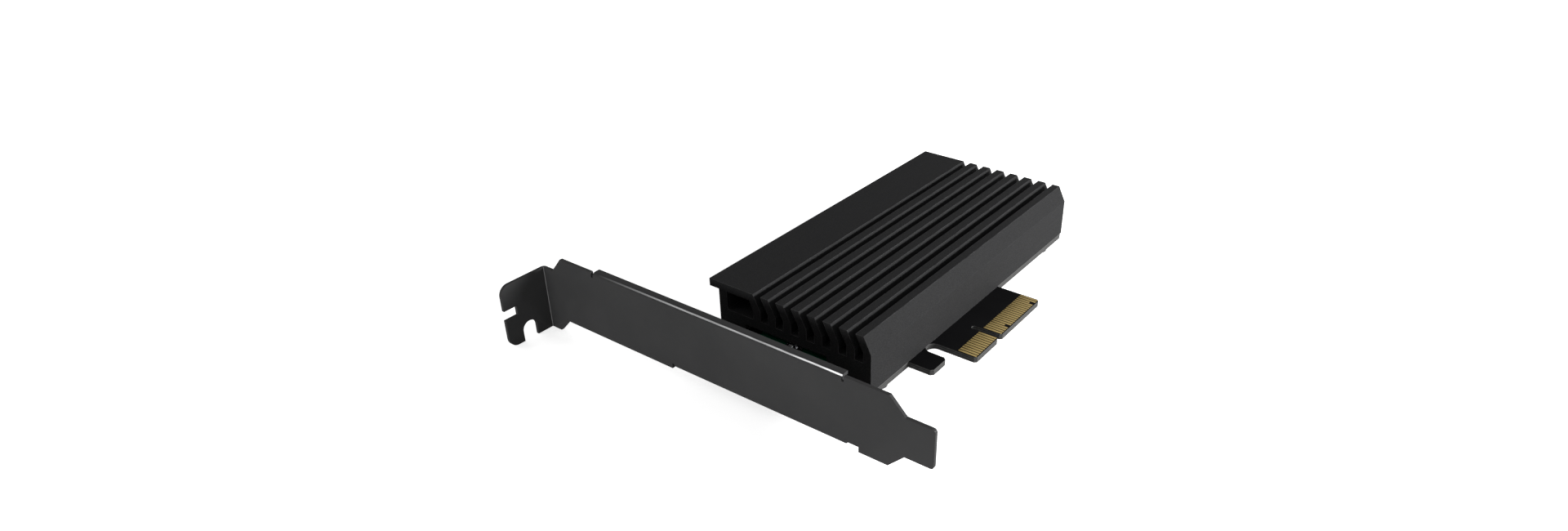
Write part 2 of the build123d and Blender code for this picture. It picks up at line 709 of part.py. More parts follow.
def drive_plan():
    """Outline of the drive: notch, shallow side recesses, narrow contact end and key."""
    half = DRIVE_WIDTH / 2
    edge = DRIVE_EDGE_WIDTH / 2
    shoulder = drive_far - DRIVE_EDGE_LENGTH
    plan = patch(drive_near, shoulder, board_middle - half, board_middle + half)
    plan = corners(plan, [(drive_near, board_middle - half), (drive_near, board_middle + half)], DRIVE_CORNER)
    plan += patch(shoulder, drive_far, board_middle - edge, board_middle + edge)
    plan -= Pos(drive_near, board_middle) * Circle(DRIVE_NOTCH_RADIUS)
    for start in DRIVE_RECESS_STARTS:
        x0 = drive_near + start
        for sign in (-1, 1):
            span = sorted((board_middle + sign * (half - DRIVE_RECESS), board_middle + sign * half))
            plan -= patch(x0, x0 + DRIVE_RECESS_LENGTH, *span)
    key = KEY_WIDTH / 2
    plan -= patch(shoulder + key, drive_far, key_middle() - key, key_middle() + key)
    plan -= Pos(shoulder + key, key_middle()) * Circle(key)
    return plan


def drive_board():
    """Green drive board."""
    return slab(drive_plan(), DRIVE_UNDERSIDE, drive_top)


def drive_contacts():
    """Gold contacts on both faces of the drive's edge."""
    x1 = drive_far - DRIVE_PAD_INSET
    x0 = x1 - DRIVE_PAD_LENGTH
    half = DRIVE_PAD_WIDTH / 2
    over = (drive_top, drive_top + DRIVE_PAD_THICKNESS)
    under = (DRIVE_UNDERSIDE - DRIVE_PAD_THICKNESS, DRIVE_UNDERSIDE)
    pads = [block(x0, x1, y - half, y + half, *over) for y in upper_pins()]
    pads += [block(x0, x1, y - half, y + half, *under) for y in lower_pins()]
    return join(pads)


def chip(start, offset, length, width, height):
    """A moulded chip on the drive, with its top edges broken."""
    x0 = drive_near + start
    y0 = board_middle + offset - width / 2
    body = block(x0, x0 + length, y0, y0 + width, drive_top, drive_top + height)
    return chamfer(body.edges().group_by(Axis.Z)[-1], CHIP_EDGE)


def drive_memory_chips():
    """Two flat memory chips, one near each end."""
    sizes = (MEMORY_OFFSET, MEMORY_LENGTH, MEMORY_WIDTH, CHIP_HEIGHT)
    return join([chip(start, *sizes) for start in (MEMORY_NEAR, MEMORY_FAR)])


def drive_power_leads():
    """Fine leads on the four sides of the power chip."""
    leads = []
    middle_x = drive_near + POWER_CHIP_START + POWER_CHIP_SIZE / 2
    middle_y = board_middle + POWER_CHIP_OFFSET
    half = POWER_CHIP_SIZE / 2
    thin = LEAD_WIDTH / 2
    for i in range(LEAD_COUNT):
        step = (i - (LEAD_COUNT - 1) / 2) * LEAD_PITCH
        for sign in (-1, 1):
            reach = sorted((sign * half, sign * (half + LEAD_REACH)))
            x, y = middle_x + step, middle_y + step
            leads.append(block(x - thin, x + thin, middle_y + reach[0], middle_y + reach[1],
                               drive_top, drive_top + LEAD_HEIGHT))
            leads.append(block(middle_x + reach[0], middle_x + reach[1], y - thin, y + thin,
                               drive_top, drive_top + LEAD_HEIGHT))
    return join(leads)


def drive_coil_parts():
    """The storage coil's body and its two metal ends."""
    x0 = drive_near + COIL_START
    x1 = x0 + COIL_LENGTH
    y0 = board_middle + COIL_OFFSET - COIL_WIDTH / 2
    y1 = y0 + COIL_WIDTH
    top = drive_top + COIL_HEIGHT
    body = block(x0, x1, y0 + COIL_CAP, y1 - COIL_CAP, drive_top, top)
    ends = [block(x0, x1, y0, y0 + COIL_CAP, drive_top, top), block(x0, x1, y1 - COIL_CAP, y1, drive_top, top)]
    return body, ends


# Rows of small parts on the drive: start along it, offset across it, pitch, length along, width
SMALL_ROWS = (
    (8.2, -9.3, 0.75, 0.4, 0.8),
    (8.2, -10.3, 1.1, 0.5, 0.7),
    (18.8, -9.0, 1.2, 0.8, 1.5),
    (19.0, -3.0, 1.3, 0.7, 1.2),
    (19.0, 3.0, 1.2, 0.6, 1.1),
    (22.6, -9.4, 0.9, 0.5, 1.0),
    (36.6, -7.2, 1.4, 0.8, 1.5),
    (36.4, -4.0, 1.4, 0.7, 1.2),
    (36.4, 2.5, 1.4, 0.7, 1.2),
    (43.2, -7.3, 1.15, 0.5, 1.0),
    (42.4, -9.6, 1.2, 0.55, 1.0),
    (60.0, -9.9, 1.1, 0.5, 0.9),
    (20.0, 8.4, 1.5, 0.7, 1.2),
)
SMALL_COUNTS = (12, 8, 3, 3, 6, 5, 4, 4, 4, 12, 14, 12, 14)
SMALL_HEIGHT = 0.45
SMALL_CAP_SHARE = 0.28


def small_places():
    """Middle, length and width of each small part."""
    places = []
    for (start, offset, pitch, length, width), count in zip(SMALL_ROWS, SMALL_COUNTS):
        for i in range(count):
            places.append((drive_near + start + i * pitch, board_middle + offset, length, width))
    return places


def drive_small_parts():
    """Dark bodies of the small parts, and the coil's body."""
    bodies = [drive_coil_parts()[0]]
    for x, y, length, width in small_places():
        reach = width / 2 - SMALL_CAP_SHARE * width
        bodies.append(block(x - length / 2, x + length / 2, y - reach, y + reach, drive_top, drive_top + SMALL_HEIGHT))
    return join(bodies)


def drive_small_ends():
    """Metal ends of the small parts and of the coil."""
    ends = list(drive_coil_parts()[1])
    for x, y, length, width in small_places():
        for sign in (-1, 1):
            span = sorted((y + sign * (width / 2 - SMALL_CAP_SHARE * width), y + sign * width / 2))
            ends.append(block(x - length / 2, x + length / 2, *span, drive_top, drive_top + SMALL_HEIGHT))
    return join(ends)


def thermal_pad(x1, z0, z1):
    """A soft pad with slightly rounded upright corners."""
    x0 = drive_near + PAD_START
    pad = block(x0, x1, board_middle - PAD_WIDTH / 2, board_middle + PAD_WIDTH / 2, z0, z1)
    return fillet(pad.edges().filter_by(Axis.Z), PAD_EDGE)


def lower_thermal_pad():
    """Pad between the gold strip and the drive's underside."""
    return thermal_pad(SOCKET_X - PIN_FOOT - PAD_PIN_GAP, PLATING, DRIVE_UNDERSIDE)


def upper_thermal_pad():
    """Pad between the chips and the heatsink."""
    return thermal_pad(SOCKET_X - PAD_SOCKET_GAP, chip_top, bay_roof)


def heatsink_outline():
    """Section of the extrusion, from its plain side over the fins to the lip and the bay."""
    knee = PLATING + FIN_KNEE
    top = PLATING + HEATSINK_HEIGHT
    floor = PLATING + FIN_FLOOR
    ledge = PLATING + LEDGE_HEIGHT
    points = [(heatsink_right, PLATING), (heatsink_right, knee), (heatsink_right + FIN_LEAN, top)]
    for i in range(FIN_COUNT):
        y0 = heatsink_right + FIN + i * FIN_PITCH
        y1 = y0 + FIN_GAP
        points += [(y0 + FIN_LEAN, top), (y0, knee), (y0, floor), (y1, floor), (y1, knee), (y1 + FIN_LEAN, top)]
    wall = heatsink_wall
    roof_left = roof_right + BAY_WIDTH
    bay_left = roof_left + LEFT_LEDGE
    points += [(heatsink_left, top), (heatsink_left, top - PLATE), (wall, top - PLATE)]
    points += [(wall, PLATING + FLANGE_HEIGHT), (heatsink_left, PLATING + FLANGE_HEIGHT)]
    points += [(heatsink_left, -LIP_DROP), (heatsink_left - LIP, -LIP_DROP), (heatsink_left - LIP, PLATING)]
    points += [(bay_left, PLATING), (bay_left, ledge), (roof_left, ledge), (roof_left, bay_roof)]
    points += [(roof_right, bay_roof), (roof_right, ledge), (bay_right, ledge), (bay_right, PLATING)]
    return points


def channel_outline():
    """The closed channel beside the fins, with its one slanted corner."""
    knee = PLATING + FIN_KNEE
    low = PLATING + FIN_FLOOR
    high = PLATING + HEATSINK_HEIGHT - PLATE
    right = heatsink_right + FIN_COUNT * FIN_PITCH + FIN
    left = heatsink_wall - CHANNEL_WALL
    lean = FIN_LEAN * (high - knee) / (HEATSINK_HEIGHT - FIN_KNEE)
    return [(right, low), (left, low), (left, high), (right + lean, high), (right, knee)]


def heatsink():
    """One extrusion with tapped holes and a shallow pocket over the outer capacitors."""
    body = section(heatsink_outline(), HEATSINK_X, board_far)
    body -= section(channel_outline(), HEATSINK_X, board_far)
    depth = PLATING + HEATSINK_SCREW_GRIP + TAPPED_EXTRA
    for x, y in slot_places:
        body -= rod(x, y, PLATING, depth, HEATSINK_SCREW_DIAMETER + 2 * THREAD_GAP)
    gap = CHANNEL_POCKET_GAP + CAPACITOR_WIDTH / 2
    x0 = OUTER_ROW_X - gap
    x1 = OUTER_ROW_X + (CAPACITOR_COUNT - 1) * CAPACITOR_PITCH + gap
    y0 = outer_row_y - CAPACITOR_LENGTH / 2 - CHANNEL_POCKET_GAP
    return body - block(x0, x1, y0, bay_right, PLATING, CAPACITOR_HEIGHT + CHANNEL_POCKET_GAP)


def heatsink_screws():
    """Screws from under the board, through the slots into the heatsink's legs."""
    tip = PLATING + HEATSINK_SCREW_GRIP
    sizes = (HEATSINK_SCREW_DIAMETER, HEATSINK_SCREW_HEAD, HEATSINK_SCREW_HEAD_HEIGHT)
    return join([screw(x, y, ears_top, tip, *sizes, upward=False) for x, y in slot_places])


nodes = {
    "bracket": bracket(),
    "bracket_screws": bracket_screws(),
    "circuit_board": circuit_board(),
    "slot_rings": slot_rings(),
    "bracket_hole_rings": bracket_hole_rings(),
    "edge_contacts_top": edge_contacts(SHORT_TOP, 0, PLATING),
    "edge_contacts_bottom": edge_contacts(SHORT_BOTTOM, ears_top, board_under),
    "cooling_strip": cooling_strip(),
    "socket_housing": socket_housing(),
    "socket_front_contacts": socket_front_contacts(),
    "socket_rear_contacts": socket_rear_contacts(),
    "socket_hold_downs": socket_hold_downs(),
    "capacitor_bodies": capacitor_bodies(),
    "capacitor_ends": capacitor_ends(),
    "drive_standoff": drive_standoff(),
    "drive_screw": drive_screw(),
    "drive_board": drive_board(),
    "drive_contacts": drive_contacts(),
    "drive_memory_chips": drive_memory_chips(),
    "drive_controller_chip": chip(CONTROLLER_START, CONTROLLER_OFFSET, CONTROLLER_LENGTH, CONTROLLER_LENGTH, CHIP_HEIGHT),
    "drive_power_chip": chip(POWER_CHIP_START, POWER_CHIP_OFFSET, POWER_CHIP_SIZE, POWER_CHIP_SIZE, POWER_CHIP_HEIGHT),
    "drive_power_leads": drive_power_leads(),
    "drive_power_switch": chip(SWITCH_START, SWITCH_OFFSET, SWITCH_LENGTH, SWITCH_WIDTH, POWER_CHIP_HEIGHT),
    "drive_small_parts": drive_small_parts(),
    "drive_small_ends": drive_small_ends(),
    "lower_thermal_pad": lower_thermal_pad(),
    "upper_thermal_pad": upper_thermal_pad(),
    "heatsink": heatsink(),
    "heatsink_screws": heatsink_screws(),
}

os.makedirs("parts", exist_ok=True)
for name, shape in nodes.items():
    export_step(shape, f"parts/{name}.step")
    size = shape.bounding_box().size
    print(f"{name}: {len(shape.solids())} solids, {size.X:.2f} x {size.Y:.2f} x {size.Z:.2f} mm")
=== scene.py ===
# %% [markdown]
# # An expansion card that cools one flash drive
#
# The card is a black circuit board behind a folded steel bracket. A flash drive lies on it between
# two soft pads, and a finned aluminium heatsink is screwed down over both. The rigid shapes arrive
# finished from the frame, true to the millimetre. This lesson dresses them: finishes first, then the
# soft and tiny things that a machine drawing leaves out.

# %% Load the frame
import math

import bmesh
import bpy
import numpy as np
from mathutils import Matrix, Vector


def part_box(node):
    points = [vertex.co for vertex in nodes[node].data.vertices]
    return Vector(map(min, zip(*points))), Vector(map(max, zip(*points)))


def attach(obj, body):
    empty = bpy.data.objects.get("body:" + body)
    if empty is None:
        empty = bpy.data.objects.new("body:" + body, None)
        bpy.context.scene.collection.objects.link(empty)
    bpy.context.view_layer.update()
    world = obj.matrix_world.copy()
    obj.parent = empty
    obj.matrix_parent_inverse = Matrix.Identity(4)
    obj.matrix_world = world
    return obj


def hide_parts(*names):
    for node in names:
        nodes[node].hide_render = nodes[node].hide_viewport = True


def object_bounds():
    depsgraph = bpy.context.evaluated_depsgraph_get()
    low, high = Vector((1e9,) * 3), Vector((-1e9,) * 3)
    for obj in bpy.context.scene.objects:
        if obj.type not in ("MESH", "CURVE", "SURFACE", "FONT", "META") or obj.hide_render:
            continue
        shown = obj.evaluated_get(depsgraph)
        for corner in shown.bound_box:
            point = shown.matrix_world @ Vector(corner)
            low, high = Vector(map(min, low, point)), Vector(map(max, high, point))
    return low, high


MM = 0.001
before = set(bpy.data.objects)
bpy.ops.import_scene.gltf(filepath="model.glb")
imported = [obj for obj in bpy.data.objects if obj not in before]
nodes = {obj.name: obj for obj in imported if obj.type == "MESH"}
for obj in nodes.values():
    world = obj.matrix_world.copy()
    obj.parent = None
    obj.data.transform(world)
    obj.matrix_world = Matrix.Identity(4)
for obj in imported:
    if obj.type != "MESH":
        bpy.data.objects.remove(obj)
cad_low, cad_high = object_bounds()
print("pieces in the frame:", len(nodes))
print("size in millimetres:", [round(v / MM, 1) for v in cad_high - cad_low])

# %% [markdown]
# ## The camera
#
# The view looks across the bracket towards the fins, about 35 degrees round and 30 degrees down. A
# camera needs three things: where it stands, which way it looks, and how wide its lens is. The
# direction is built from the two angles, so each can be changed by itself. The Standard view transform
# shows each colour as the light makes it, without a film look on top.

# %% Camera
VIEW_HEADING = math.radians(35.289)
VIEW_DOWN = math.radians(29.844)
VIEW_ROLL = math.radians(-0.185)
CAMERA_PLACE = (-143.894, -95.230, 138.954)     # millimetres
FOCAL_PIXELS = 1249.21
PICTURE_WIDTH = 1920
PICTURE_CENTRE = (960, 325)
OPTICAL_CENTRE = (1041.78, 352.33)

ahead = Vector((math.cos(VIEW_DOWN) * math.cos(VIEW_HEADING),
                math.cos(VIEW_DOWN) * math.sin(VIEW_HEADING), -math.sin(VIEW_DOWN)))
level_right = Vector((math.sin(VIEW_HEADING), -math.cos(VIEW_HEADING), 0))
level_down = ahead.cross(level_right)
right = level_right * math.cos(VIEW_ROLL) + level_down * math.sin(VIEW_ROLL)
up = level_right * math.sin(VIEW_ROLL) - level_down * math.cos(VIEW_ROLL)

camera_data = bpy.data.cameras.new("picture_camera")
camera_data.sensor_width = 36
camera_data.lens = FOCAL_PIXELS / PICTURE_WIDTH * camera_data.sensor_width
camera_data.shift_x = (PICTURE_CENTRE[0] - OPTICAL_CENTRE[0]) / PICTURE_WIDTH
camera_data.shift_y = (OPTICAL_CENTRE[1] - PICTURE_CENTRE[1]) / PICTURE_WIDTH
camera_data.clip_start = 0.005
camera = bpy.data.objects.new("picture_camera", camera_data)
axes = Matrix((right, up, -ahead)).transposed().to_4x4()
camera.matrix_world = Matrix.Translation(Vector(CAMERA_PLACE) * MM) @ axes
bpy.context.collection.objects.link(camera)
bpy.context.scene.camera = camera
bpy.context.scene.view_settings.view_transform = "Standard"
print("lens in millimetres:", round(camera_data.lens, 2))

# %% [markdown]
# ## Floor and light
#
# The card lies on a wide pale sheet under an even sky. A white background could be had by turning
# the lamps up, but then every pale part of the card would burn out too. So the lamps stay at a level
# where a colour renders about as it is written, and only the sheet and the sky are lifted to white,
# for the rays that come from the camera or from a mirror-like surface. Light Path tells those apart.


# %% White for the camera alone
def ramp_between(tree, value, low, high, start=0.0, end=1.0):
    """A number that goes from start to end as the value goes from low to high."""
    span = tree.nodes.new("ShaderNodeMapRange")
    for socket, number in (("From Min", low), ("From Max", high), ("To Min", start), ("To Max", end)):
        span.inputs[socket].default_value = number
    tree.links.new(value, span.inputs["Value"])
    return span.outputs["Result"]


def two_numbers(tree, operation, first, second):
    """One number from two, by the named operation."""
    joined = tree.nodes.new("ShaderNodeMath")
    joined.operation = operation
    tree.links.new(first, joined.inputs[0])
    tree.links.new(second, joined.inputs[1])
    return joined.outputs["Value"]


def lift_for_camera(tree, strength_socket, quiet, white):
    """A strength that is white for camera, mirror and see-through rays, and quiet for all
    that light the card."""
    path = tree.nodes.new("ShaderNodeLightPath")
    seen = path.outputs["Is Camera Ray"]
    for also in ("Is Glossy Ray", "Is Transmission Ray"):
        seen = two_numbers(tree, "MAXIMUM", seen, path.outputs[also])
    tree.links.new(ramp_between(tree, seen, 0.0, 1.0, quiet, white), strength_socket)


# %% Floor
FLOOR_GAP = 0.02            # under the card's lowest point, mm
FLOOR_SIZE = 6.0            # metres
FLOOR_LIFT = 0.68

floor_z = cad_low.z - FLOOR_GAP * MM
reach = FLOOR_SIZE / 2
floor_mesh = bpy.data.meshes.new("pale_floor")
floor_mesh.from_pydata(
    [(-reach, -reach, floor_z), (reach, -reach, floor_z), (reach, reach, floor_z), (-reach, reach, floor_z)],
    [], [(0, 1, 2, 3)])
floor = bpy.data.objects.new("pale_floor", floor_mesh)
bpy.context.collection.objects.link(floor)

floor_finish = bpy.data.materials.new("pale_floor_sheet")
floor_finish.use_nodes = True
sheet = floor_finish.node_tree.nodes["Principled BSDF"]
sheet.inputs["Base Color"].default_value = (0.9, 0.9, 0.9, 1)
sheet.inputs["Roughness"].default_value = 0.9
sheet.inputs["Specular IOR Level"].default_value = 0.1
sheet.inputs["Emission Color"].default_value = (1, 1, 1, 1)
lift_for_camera(floor_finish.node_tree, sheet.inputs["Emission Strength"], 0.0, FLOOR_LIFT)
floor_mesh.materials.append(floor_finish)
print("floor under the lowest point, mm:", round(floor_z / MM, 2))

# %% Soft light
SKY_LEVEL = 0.28
SKY_WHITE = 1.0

world = bpy.data.worlds.new("studio_sky")
bpy.context.scene.world = world
world.use_nodes = True
sky_glow = world.node_tree.nodes["Background"]
sky_glow.inputs["Color"].default_value = (1, 1, 1, 1)
lift_for_camera(world.node_tree, sky_glow.inputs["Strength"], SKY_LEVEL, SKY_WHITE)


def soft_lamp(name, place, aim, size, power):
    """A flat lamp at a place, turned to face another place; lengths in metres, power in watts."""
    data = bpy.data.lights.new(name, "AREA")
    data.shape = "RECTANGLE"
    data.size, data.size_y = size
    data.energy = power
    lamp = bpy.data.objects.new(name, data)
    lamp.location = place
    lamp.rotation_euler = (Vector(aim) - Vector(place)).to_track_quat("-Z", "Y").to_euler()
    bpy.context.collection.objects.link(lamp)


bracket_middle = (0.0, 0.05, 0.0)
contacts = (0.09, 0.02, 0.01)
card_middle = (0.05, 0.04, 0.0)
soft_lamp("lamp_bracket_side", (-0.55, 0.02, 0.07), bracket_middle, (0.5, 0.12), 2.3)
soft_lamp("lamp_contact_side", (0.30, -0.46, 0.14), contacts, (0.4, 0.06), 8.2)
soft_lamp("lamp_tab_side", (0.06, 0.62, 0.05), card_middle, (0.4, 0.08), 1.8)
soft_lamp("lamp_far_end", (0.72, 0.08, 0.05), card_middle, (0.4, 0.08), 1.8)
soft_lamp("lamp_bend_glint", (-0.31, 0.41, 0.52), card_middle, (0.03, 0.24), 0.3)
print("lamps:", len(bpy.data.lights))

# %% [markdown]
# ## Finishes
#
# Each finish starts the same way: one shader, whose plain numbers are set on its own sockets, and a
# few noise patterns that read the piece's own coordinates in metres. A noise scale of 1000 therefore
# makes grains about a millimetre across, wherever the piece lies. Noise seldom leaves the span from
# 0.3 to 0.7, so colours and sheens are stretched over that span.

# %% How a finish is started
NOISE_LOW, NOISE_HIGH = 0.3, 0.7


def finish(name, colour, roughness, metallic=0.0, gloss=0.5):
    """One material with its shader's plain values set, ready for patterns."""
    material = bpy.data.materials.new(name)
    material.use_nodes = True
    shader = material.node_tree.nodes["Principled BSDF"]
    shader.inputs["Base Color"].default_value = (*colour, 1)
    shader.inputs["Roughness"].default_value = roughness
    shader.inputs["Metallic"].default_value = metallic
    shader.inputs["Specular IOR Level"].default_value = gloss
    return material


def feed(material, value, socket):
    """Links a value to one of the shader's sockets."""
    tree = material.node_tree
    tree.links.new(value, tree.nodes["Principled BSDF"].inputs[socket])


def grain(material, scale, stretch=(1, 1, 1), detail=2.0):
    """Noise on the piece's own coordinates; stretch squeezes the pattern along each axis."""
    tree = material.node_tree
    place = tree.nodes.new("ShaderNodeTexCoord")
    squeeze = tree.nodes.new("ShaderNodeMapping")
    squeeze.inputs["Scale"].default_value = stretch
    noise = tree.nodes.new("ShaderNodeTexNoise")
    noise.inputs["Scale"].default_value = scale
    noise.inputs["Detail"].default_value = detail
    tree.links.new(place.outputs["Object"], squeeze.inputs["Vector"])
    tree.links.new(squeeze.outputs["Vector"], noise.inputs["Vector"])
    return noise.outputs["Fac"]


# %% Colour, sheen and relief from a pattern
ROUNDING_SAMPLES = 6


def two_tones(tree, value, low, high, start, end):
    """A colour that runs from low to high as the value goes from start to end."""
    ramp = tree.nodes.new("ShaderNodeValToRGB")
    for stop, position, colour in zip(ramp.color_ramp.elements, (start, end), (low, high)):
        stop.position = position
        stop.color = (*colour, 1)
    tree.links.new(value, ramp.inputs["Fac"])
    return ramp.outputs["Color"]


def shade(material, pattern, low, high):
    """Base colour that runs from low to high as the pattern rises."""
    colour = two_tones(material.node_tree, pattern, low, high, NOISE_LOW, NOISE_HIGH)
    feed(material, colour, "Base Color")
    return colour


def sheen(material, pattern, low, high):
    """Roughness that runs from low to high as the pattern rises."""
    feed(material, ramp_between(material.node_tree, pattern, NOISE_LOW, NOISE_HIGH, low, high), "Roughness")


def rounded_direction(tree, radius_mm):
    """The way the surface would point if its edges had this radius."""
    rounding = tree.nodes.new("ShaderNodeBevel")
    rounding.samples = ROUNDING_SAMPLES
    rounding.inputs["Radius"].default_value = radius_mm * MM
    return rounding.outputs["Normal"]


def relief(material, pattern, depth_mm, strength=1.0, rounding_mm=0.0):
    """Small bumps from a pattern, and edges that catch the light as if rounded."""
    tree = material.node_tree
    bump = tree.nodes.new("ShaderNodeBump")
    bump.inputs["Strength"].default_value = strength
    bump.inputs["Distance"].default_value = depth_mm * MM
    tree.links.new(pattern, bump.inputs["Height"])
    if rounding_mm:
        tree.links.new(rounded_direction(tree, rounding_mm), bump.inputs["Normal"])
    feed(material, bump.outputs["Normal"], "Normal")


# %% Painted highlights on edges, and giving finishes
FLAT_AGREES, EDGE_AGREES = 0.99, 0.86
# Noise between these values lets the painted edge highlight show.
EDGE_HIGHLIGHT_FROM, EDGE_HIGHLIGHT_TO = 0.3, 0.55


def mixed(material, share, colour, highlight_colour):
    """The colour pattern where the share is 0, and one painted highlight colour where it is 1."""
    tree = material.node_tree
    mix = tree.nodes.new("ShaderNodeMix")
    mix.data_type = "RGBA"
    mix.inputs["B"].default_value = highlight_colour
    tree.links.new(share, mix.inputs["Factor"])
    tree.links.new(colour, mix.inputs["A"])
    feed(material, mix.outputs["Result"], "Base Color")
    return mix.outputs["Result"]


def painted_edge_highlights(material, colour, highlight_colour, width_mm, patches):
    """Painted highlight on edges: a paler colour near them. Near an edge the rounded direction leaves the
    true one, and that difference, where the patches allow it, is the share."""
    tree = material.node_tree
    true_direction = tree.nodes.new("ShaderNodeNewGeometry")
    agree = tree.nodes.new("ShaderNodeVectorMath")
    agree.operation = "DOT_PRODUCT"
    tree.links.new(rounded_direction(tree, width_mm), agree.inputs[0])
    tree.links.new(true_direction.outputs["Normal"], agree.inputs[1])
    near_edge = ramp_between(tree, agree.outputs["Value"], FLAT_AGREES, EDGE_AGREES)
    highlight_here = ramp_between(tree, patches, EDGE_HIGHLIGHT_FROM, EDGE_HIGHLIGHT_TO)
    mixed(material, two_numbers(tree, "MULTIPLY", near_edge, highlight_here), colour, highlight_colour)


def wear(coating, *dressed):
    """Gives a finish to the named nodes of the frame."""
    for node in dressed:
        piece = nodes[node]
        piece.data.materials.clear()
        piece.data.materials.append(coating)
        piece.data.update()
    print(coating.name, "on", ", ".join(dressed))


# %% [markdown]
# ## Black coat of the bracket
#
# The bracket is folded from thin steel and coated matte black. Such a coat has a very fine orange-peel
# skin and slightly uneven sheen where hands have touched it. Two noises do this: a fine one lifts
# the surface, a broad one moves the roughness.

# %% Bracket coat
bracket_coat = finish("bracket_coat", (0.036, 0.036, 0.0365), 0.45, gloss=0.0)
coat_skin = grain(bracket_coat, 5200, detail=3)
coat_touch = grain(bracket_coat, 45, detail=3)
coat_colour = shade(bracket_coat, coat_touch, (0.033, 0.033, 0.0335), (0.039, 0.039, 0.0395))
sheen(bracket_coat, coat_touch, 0.4, 0.5)
relief(bracket_coat, coat_skin, 0.02, 0.35, rounding_mm=0.12)
bracket_shader = bracket_coat.node_tree.nodes["Principled BSDF"]
bracket_shader.inputs["Coat Weight"].default_value = 0.04
bracket_shader.inputs["Coat Roughness"].default_value = 0.16
wear(bracket_coat, "bracket")

# %% [markdown]
# Along the outside of the long upper bend a painted highlight is laid on: a pale metallic line that
# grows brighter along Y and breaks up in grainy patches. The bend is found by its direction: only there
# does the surface point half forwards and half upwards. Inside the tab's fold a paler grey line is a
# painted highlight too. A painted mask would do the same, but it needs an image file.

# %% Painted highlights on the bend and in the fold
BEND_DIRECTION = (-0.6, 0.0, 0.8)
BEND_FACING = (0.972, 0.994)          # how nearly the surface must point that way
BEND_HIGHLIGHT_FROM, BEND_HIGHLIGHT_TO = 84.0, 12.0   # the painted highlight grows along Y from the first to the second, mm
# Painted highlight: the pale steel colour laid along the upper bend.
BEND_HIGHLIGHT_STEEL = (0.85, 0.85, 0.86, 1)
HIGHLIGHT_BREAK_FROM, HIGHLIGHT_BREAK_TO = 0.25, 0.5
FOLD_DIRECTION = (-0.707, -0.707, 0.0)
FOLD_FACING = (0.93, 0.99)
# Painted highlight: the paler grey laid inside the tab's fold.
FOLD_HIGHLIGHT_GREY = (0.2, 0.2, 0.204, 1)


def own_coordinate(tree, axis):
    """The piece's own coordinate along one axis, in metres."""
    place = tree.nodes.new("ShaderNodeTexCoord")
    parts = tree.nodes.new("ShaderNodeSeparateXYZ")
    tree.links.new(place.outputs["Object"], parts.inputs["Vector"])
    return parts.outputs[axis]


def pointing(tree, direction, low, high):
    """A share that rises as the surface points more nearly in a direction."""
    surface = tree.nodes.new("ShaderNodeNewGeometry")
    toward = tree.nodes.new("ShaderNodeVectorMath")
    toward.operation = "DOT_PRODUCT"
    toward.inputs[1].default_value = direction
    tree.links.new(surface.outputs["Normal"], toward.inputs[0])
    return ramp_between(tree, toward.outputs["Value"], low, high)


coat_tree = bracket_coat.node_tree
on_bend = pointing(coat_tree, BEND_DIRECTION, *BEND_FACING)
lengthwise = ramp_between(coat_tree, own_coordinate(coat_tree, "Y"), BEND_HIGHLIGHT_FROM * MM, BEND_HIGHLIGHT_TO * MM)
highlight_break_grain = grain(bracket_coat, 700, stretch=(1, 0.08, 1), detail=3)
highlight_breaks = ramp_between(coat_tree, highlight_break_grain, HIGHLIGHT_BREAK_FROM, HIGHLIGHT_BREAK_TO)
# The painted highlight's share: on the bend, growing along Y, broken up in grainy patches; it is also made
# metallic.
painted_highlight = two_numbers(coat_tree, "MULTIPLY", two_numbers(coat_tree, "MULTIPLY", on_bend, lengthwise), highlight_breaks)
on_fold = pointing(coat_tree, FOLD_DIRECTION, *FOLD_FACING)
# The fold's painted highlight is mixed in first, and the bend's goes over it.
fold_highlight_colour = mixed(bracket_coat, on_fold, coat_colour, FOLD_HIGHLIGHT_GREY)
mixed(bracket_coat, painted_highlight, fold_highlight_colour, BEND_HIGHLIGHT_STEEL)
feed(bracket_coat, painted_highlight, "Metallic")
print("rubbed bend from y", BEND_HIGHLIGHT_FROM, "to", BEND_HIGHLIGHT_TO)

# %% [markdown]
# ## Black anodised aluminium
#
# The heatsink is pushed through a die, blasted with fine beads and dyed black in an acid bath. Blasting
# leaves a grain finer than a fingerprint, and faint lines from the die run under it along X, which a
# noise squeezed a hundred times draws. Its sharp edges carry a painted highlight: a paler colour laid
# in patches along them, where light would catch.

# %% Heatsink anodising
heatsink_black = finish("heatsink_black", (0.019, 0.019, 0.0194), 0.5, gloss=0.003)
die_lines = grain(heatsink_black, 2600, stretch=(0.012, 1, 1), detail=4)
blasted_grain = grain(heatsink_black, 5200, detail=2)
# Patches where the painted edge highlight shows.
edge_highlight_patches = grain(heatsink_black, 260, detail=3)
anodised = shade(heatsink_black, blasted_grain, (0.0135, 0.0135, 0.0138), (0.0245, 0.0245, 0.025))
sheen(heatsink_black, die_lines, 0.42, 0.55)
relief(heatsink_black, blasted_grain, 0.008, 0.2, rounding_mm=0.12)
# Painted highlight: a paler colour in patches along the sharp edges.
painted_edge_highlights(heatsink_black, anodised, (0.075, 0.075, 0.077, 1), 0.2, edge_highlight_patches)
wear(heatsink_black, "heatsink")

# %% [markdown]
# ## Boards
#
# A circuit board is glass cloth in resin, with a thin coloured lacquer on its two faces. Its cut edge
# shows the layers as pale and dark lines. The face and the edge are told apart by the direction the
# surface points: straight up or down is lacquer, sideways is bare laminate.

# %% Laminate with lacquered faces
UPRIGHT_SHARE = 0.5
LINE_FROM, LINE_TO = 0.35, 0.8


